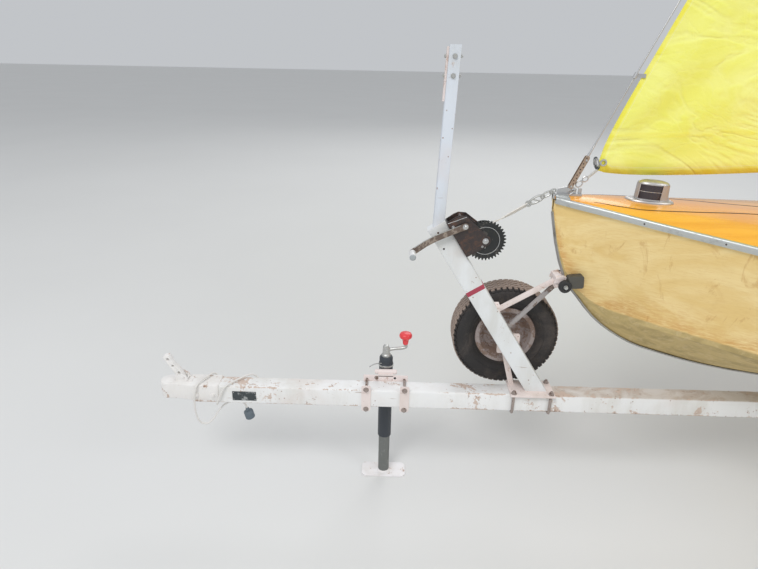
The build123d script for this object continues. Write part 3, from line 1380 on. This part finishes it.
with BuildPart() as bunk_supports:
    for station in SUPPORT_STATIONS:
        for side in (-1, 1):
            add(block((aft(station) - 16, aft(station) + 16), (side * (BUNK_Y - 34), side * (BUNK_Y - 28)), (CROSS_TOP, BUNK_LOW)))
            add(block((aft(station) - 16, aft(station) + 16), (side * (BUNK_Y - 34), side * (BUNK_Y + 34)), (BUNK_LOW - 6, BUNK_LOW)))
            add(block((aft(station) - 16, aft(station) + 16), (side * (BUNK_Y - 34), side * (BUNK_Y + 34)), (CROSS_TOP, CROSS_TOP + 6)))
save("bunk_supports", bunk_supports)

# Keel rollers and their brackets on the tongue
ROLLER_STATIONS = (2900.0, 4300.0, 5800.0)
roller_z = {s: surface_height(stem_band.part, aft(s), top=False) - ROLLER_RADIUS - FIT for s in ROLLER_STATIONS}
with BuildPart() as keel_rollers:
    for station in ROLLER_STATIONS:
        x, z = aft(station), roller_z[station]
        half = ROLLER_LENGTH / 2
        with BuildSketch(Plane.XY.offset(z)):
            with BuildLine():
                Polyline((x, -half), (x + ROLLER_END, -half), (x + ROLLER_RADIUS, -14), (x + ROLLER_RADIUS, 14), (x + ROLLER_END, half), (x, half), close=True)
            make_face()
        revolve(axis=Axis((x, 0, z), (0, 1, 0)))
    add([rod((aft(s), -ROLLER_LENGTH, roller_z[s]), (aft(s), ROLLER_LENGTH, roller_z[s]), 8 + FIT / 2) for s in ROLLER_STATIONS], mode=Mode.SUBTRACT)
save("keel_rollers", keel_rollers)

with BuildPart() as roller_brackets:
    for station in ROLLER_STATIONS:
        x, z = aft(station), roller_z[station]
        half = ROLLER_LENGTH / 2 + 3
        add(rod((x, -half - 10, z), (x, half + 10, z), 8))
        add(block((x - 20, x + 20), (-half - 5, half + 5), (TONGUE_TOP, TONGUE_TOP + 5)))
        for side in (-1, 1):
            add(block((x - 20, x + 20), (side * half, side * (half + 5)), (TONGUE_TOP, z + 14)))
save("roller_brackets", roller_brackets)

# Tail lamps on a bar across the tongue's end
BAR_STATION = 5868.0
BAR_HALF = 640.0
with BuildPart() as tail_bar:
    add(block((aft(BAR_STATION) - 18, aft(BAR_STATION) + 18), (-BAR_HALF, BAR_HALF), (TONGUE_BOTTOM - 36, TONGUE_BOTTOM)))
save("tail_bar", tail_bar)

with BuildPart() as tail_lamps:
    for side in (-1, 1):
        with BuildSketch(Plane.YZ.offset(aft(BAR_STATION) - 18)):
            with Locations((side * (BAR_HALF - 62), TONGUE_BOTTOM - 18)):
                RectangleRounded(118, 84, 10)
        extrude(amount=-44)
    fillet(tail_lamps.faces().group_by(Axis.X)[0].edges(), 8)
save("tail_lamps", tail_lamps)

# Gudgeons on the transom, rudder head with pintles, blade and tiller
TRANSOM_X = inboard(HULL_LENGTH)
AXIS_X = TRANSOM_X - PINTLE_OFFSET
PIVOT_X = AXIS_X - PIVOT_BEHIND
HEAD_HALF = BLADE / 2 + 0.5 + CHEEK
GUDGEON = 9.0
with BuildPart() as gudgeons:
    for height in PINTLE_HEIGHTS:
        with BuildSketch(Plane.XY.offset(height)):
            with Locations(((TRANSOM_X + AXIS_X) / 2, 0)):
                Rectangle(PINTLE_OFFSET, 20)
            with Locations((AXIS_X, 0)):
                Circle(11)
                Circle(PINTLE + 0.06, mode=Mode.SUBTRACT)
        extrude(amount=GUDGEON)
        add(block((TRANSOM_X - 4, TRANSOM_X), (-40, 40), (height - 14, height + GUDGEON + 14)))
save("gudgeons", gudgeons)

WEB_BACK = AXIS_X - 28
with BuildPart() as rudder_head:
    with BuildSketch(Plane.XZ.offset(-HEAD_HALF)) as head_side:
        with BuildLine():
            Polyline(
                (AXIS_X - 16, PIVOT_Z - 95),
                (AXIS_X - 16, HEAD_TOP),
                (AXIS_X - 96, HEAD_TOP),
                (AXIS_X - 130, PIVOT_Z + 150),
                (PIVOT_X - 75, PIVOT_Z - 95),
                close=True,
            )
        make_face()
        fillet(head_side.vertices(), 12)
    extrude(amount=2 * HEAD_HALF)
    with BuildSketch(Plane.XZ.offset(-BLADE / 2 - 0.5)):
        with Locations((PIVOT_X, PIVOT_Z)):
            Circle(86)
            with Locations((-150, -107)):
                Rectangle(300, 386)
            with Locations((30, -150)):
                Rectangle(112, 300)
            with Locations((WEB_BACK - PIVOT_X + 100, 0)):
                Rectangle(200, 700, mode=Mode.SUBTRACT)
    extrude(amount=BLADE + 1, mode=Mode.SUBTRACT)
    add(rod((PIVOT_X, -HEAD_HALF - 6, PIVOT_Z), (PIVOT_X, HEAD_HALF + 6, PIVOT_Z), 6))
    for height in PINTLE_HEIGHTS:
        add(rod((AXIS_X, 0, height - 16), (AXIS_X, 0, height + GUDGEON + 8), PINTLE))
        add(block((AXIS_X - 20, AXIS_X + 5), (-8, 8), (height + GUDGEON + 0.5, height + GUDGEON + 8)))
save("rudder_head", rudder_head)

# Blade, drawn lowered and turned up about its pivot; the leading edge faces forward
blade_axis = Axis((PIVOT_X, 0, PIVOT_Z), (0, 1, 0))
with BuildPart() as blade_down:
    with BuildSketch(Plane.XZ.offset(-BLADE / 2)) as blade_side:
        with BuildLine():
            Polyline(
                (PIVOT_X + 40, PIVOT_Z + 20),
                (PIVOT_X + 40, PIVOT_Z - 110),
                (PIVOT_X + BLADE_CHORD / 2 - 10, PIVOT_Z - 200),
                (PIVOT_X + BLADE_TIP / 2, PIVOT_Z - BLADE_LENGTH),
                (PIVOT_X - BLADE_TIP / 2, PIVOT_Z - BLADE_LENGTH),
                (PIVOT_X - BLADE_CHORD / 2 - 10, PIVOT_Z - 200),
                (PIVOT_X - 66, PIVOT_Z - 110),
                (PIVOT_X - 62, PIVOT_Z + 20),
                close=True,
            )
        make_face()
        fillet(blade_side.vertices().group_by(Axis.Y)[0], TIP_ROUND)
        fillet(blade_side.vertices().group_by(Axis.Y)[-1], 18)
    extrude(amount=BLADE)
    with BuildSketch(Plane.XZ.offset(-BLADE)):
        with Locations((PIVOT_X, PIVOT_Z)):
            Circle(6.06)
    extrude(amount=2 * BLADE, mode=Mode.SUBTRACT)
with BuildPart() as rudder_blade:
    add(blade_down.part.rotate(blade_axis, KICK_UP))
save("rudder_blade", rudder_blade)

TILLER_START = HEAD_TOP - 26
tiller_low = Vector(AXIS_X - 90, 0, TILLER_START)
tiller_high = Vector(AXIS_X - 90 + TILLER_LENGTH, 0, TILLER_START + 130)
tiller_run = tiller_high - tiller_low
with BuildPart() as tiller:
    with BuildSketch(Plane(origin=tuple(tiller_low), x_dir=(0, 1, 0), z_dir=tuple(tiller_run))):
        RectangleRounded(24, 32, 5)
    with BuildSketch(Plane(origin=tuple(tiller_high), x_dir=(0, 1, 0), z_dir=tuple(tiller_run))):
        RectangleRounded(18, 22, 5)
    loft()
    add(rudder_head.part, mode=Mode.SUBTRACT)
save("tiller", tiller)

# Wiring lead wound on the tongue. Columns: distance behind the nose, to port, height.
LEAD_RADIUS = 3.5
LEAD_ROUTE = (
    (392.0, -38.1, 455.0),
    (392.0, -54.0, 455.0),
    (374.0, -56.0, 482.0),
    (352.0, -48.0, 504.0),
    (310.0, 0.0, 504.5),
    (268.0, 48.0, 502.5),
    (244.0, 50.0, 455.0),
    (228.0, 48.0, 407.5),
    (224.0, 0.0, 404.0),
    (224.0, -48.0, 407.5),
    (220.0, -52.0, 455.0),
    (204.0, -52.0, 507.0),
    (180.0, 0.0, 510.0),
    (158.0, 52.0, 507.0),
    (146.0, 53.0, 456.0),
    (141.0, 52.0, 402.0),
    (144.0, 50.0, 358.0),
    (154.0, 46.0, 326.0),
    (178.0, 37.0, 312.0),
    (202.0, 25.0, 328.0),
    (220.0, 12.0, 360.0),
    (246.0, 2.0, 388.0),
    (280.0, 0.0, 402.0),
    (310.0, 0.0, 402.0),
    (330.0, 0.0, 391.0),
    (335.0, 0.0, 371.0),
)
lead_points = [Vector(aft(station), y, z) for station, y, z in LEAD_ROUTE]
lead_radii = []
for before, here, after in zip(lead_points, lead_points[1:], lead_points[2:]):
    arrive = here - before
    leave = after - here
    turn = radians(arrive.get_angle(leave))
    lead_radii.append(0.45 * min(arrive.length, leave.length) / tan(turn / 2))
print("lead radii", [round(radius, 1) for radius in lead_radii])
with BuildPart() as lead:
    with BuildLine() as lead_line:
        FilletPolyline(*[tuple(point) for point in lead_points], radius=lead_radii)
    with BuildSketch(Plane(origin=tuple(lead_points[0]), z_dir=tuple(lead_points[1] - lead_points[0]))):
        Circle(LEAD_RADIUS)
    sweep(path=lead_line.wires()[0])
lead_length = lead_line.wires()[0].length
print("lead length", round(lead_length, 1), "volume", round(lead.part.volume), "section times length",
      round(lead_length * 3.14159 * LEAD_RADIUS ** 2))
save("lead", lead)

plug_top = lead_points[-1]
plug_run = lead_points[-1] - lead_points[-2]
with BuildPart() as lead_plug:
    with BuildSketch(Plane(origin=tuple(plug_top), z_dir=tuple(plug_run))):
        Circle(8)
    extrude(amount=14)
    with BuildSketch(Plane(origin=tuple(plug_top + plug_run.normalized() * 14), z_dir=tuple(plug_run))):
        Circle(19)
    extrude(amount=34)
save("lead_plug", lead_plug)

# Places of the joints, for the record
print("jack", JACK_X, -JACK_OFFSET, JACK_PIVOT_Z)
print("wheels", AXLE_X, WHEEL_Y, AXLE_Z)
print("boom", [round(value, 2) for value in rig(hinge_back, 0, GOOSENECK)], [round(v, 5) for v in rake_up])
print("rudder", AXIS_X, PINTLE_HEIGHTS, "blade", PIVOT_X, PIVOT_Z)
print("nose", NOSE_X, "stem", inboard(0), "transom", TRANSOM_X, "mast foot", [round(v, 2) for v in MAST_FOOT])
